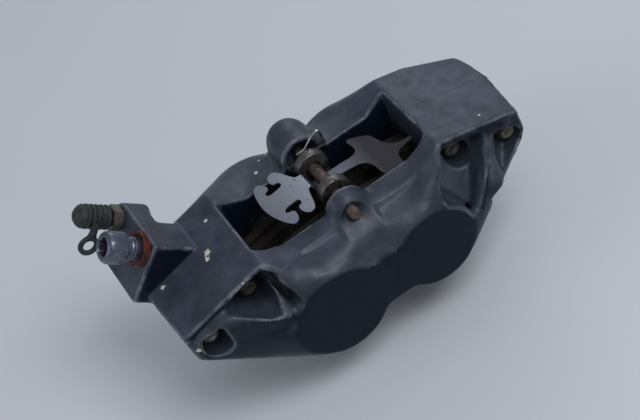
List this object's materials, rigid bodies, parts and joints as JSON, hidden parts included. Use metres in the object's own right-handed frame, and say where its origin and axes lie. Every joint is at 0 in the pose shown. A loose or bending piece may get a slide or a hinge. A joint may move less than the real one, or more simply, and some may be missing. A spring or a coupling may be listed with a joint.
{
  "type": "brake caliper",
  "caption": "Fixed brake caliper in two bolted halves with opposed pistons, pads on a hanging pin, a leaf spring, and hose and bleed fittings, for a motorcycle-size disc.",
  "frame": {"origin": "On the middle plane of the disc slot, in the centre of the window, level with the flat top of the two bridges", "axes": "+X along the disc's rim towards the end without fittings, +Y along the disc's axle towards the half with the mounting ears, +Z away from the axle"},
  "size_m": [0.1766, 0.0841, 0.0966],
  "materials": {
    "housing": "cast aluminium under satin dark grey paint, with small chips",
    "bolts": "zinc plated steel, dulled",
    "pistons": "hard anodised aluminium, turned",
    "seals": "moulded rubber",
    "pad_plate": "stamped steel with a film of rust",
    "pad_lining": "pressed friction material, dusty",
    "pin": "steel rod with brown rust",
    "spring": "bright stainless spring sheet",
    "wire": "bright spring wire",
    "zinc": "bluish bright zinc plating",
    "copper": "soft copper, slightly tarnished",
    "cap_rubber": "dark grey moulded rubber"
  },
  "bodies": {
    "caliper_body": {"outer_half": "housing", "inner_half": "housing", "end_bolts": "bolts", "near_bolts": "bolts", "outer_pressure_seals": "seals", "inner_pressure_seals": "seals", "outer_dust_seals": "seals", "inner_dust_seals": "seals", "crossover_rings": "seals", "pad_pin": "pin", "pin_clip": "wire", "pad_spring": "spring", "hose_bolt": "zinc", "copper_washers": "copper", "gallery_plugs": "bolts"},
    "outer_pad": {"outer_pad_plate": "pad_plate", "outer_pad_lining": "pad_lining"},
    "inner_pad": {"inner_pad_plate": "pad_plate", "inner_pad_lining": "pad_lining"},
    "outer_large_piston": {"outer_piston_large": "pistons"},
    "outer_small_piston": {"outer_piston_small": "pistons"},
    "inner_large_piston": {"inner_piston_large": "pistons"},
    "inner_small_piston": {"inner_piston_small": "pistons"},
    "bleed_screw": {"bleed_screw": "bolts"},
    "bleed_cap": {"bleed_cap": "cap_rubber"}
  },
  "joints": [
    {"name": "outer_pad_slide", "type": "slide", "parent": "caliper_body", "child": "outer_pad", "axis": [0, 1, 0], "range_m": [-0.0026, 0.0024]},
    {"name": "inner_pad_slide", "type": "slide", "parent": "caliper_body", "child": "inner_pad", "axis": [0, -1, 0], "range_m": [-0.0026, 0.0024]},
    {"name": "outer_large_piston_slide", "type": "slide", "parent": "caliper_body", "child": "outer_large_piston", "axis": [0, 1, 0], "range_m": [-0.0026, 0.0024]},
    {"name": "outer_small_piston_slide", "type": "slide", "parent": "caliper_body", "child": "outer_small_piston", "axis": [0, 1, 0], "range_m": [-0.0026, 0.0024]},
    {"name": "inner_large_piston_slide", "type": "slide", "parent": "caliper_body", "child": "inner_large_piston", "axis": [0, -1, 0], "range_m": [-0.0026, 0.0024]},
    {"name": "inner_small_piston_slide", "type": "slide", "parent": "caliper_body", "child": "inner_small_piston", "axis": [0, -1, 0], "range_m": [-0.0026, 0.0024]},
    {"name": "bleed_screw_turn", "type": "hinge", "parent": "caliper_body", "child": "bleed_screw", "pos_m": [-0.0755, 0.0353, 0.0056], "axis": [-0.7071, 0, 0.7071], "range_deg": [0, 180]},
    {"name": "bleed_cap_pull", "type": "slide", "parent": "caliper_body", "child": "bleed_cap", "axis": [-0.7071, 0, 0.7071], "range_m": [0, 0.014]}
  ],
  "couplings": [
    {"joint": "inner_pad_slide", "follows": "outer_pad_slide", "ratio": 1},
    {"joint": "outer_large_piston_slide", "follows": "outer_pad_slide", "ratio": 1},
    {"joint": "outer_small_piston_slide", "follows": "outer_pad_slide", "ratio": 1},
    {"joint": "inner_large_piston_slide", "follows": "outer_pad_slide", "ratio": 1},
    {"joint": "inner_small_piston_slide", "follows": "outer_pad_slide", "ratio": 1}
  ]
}
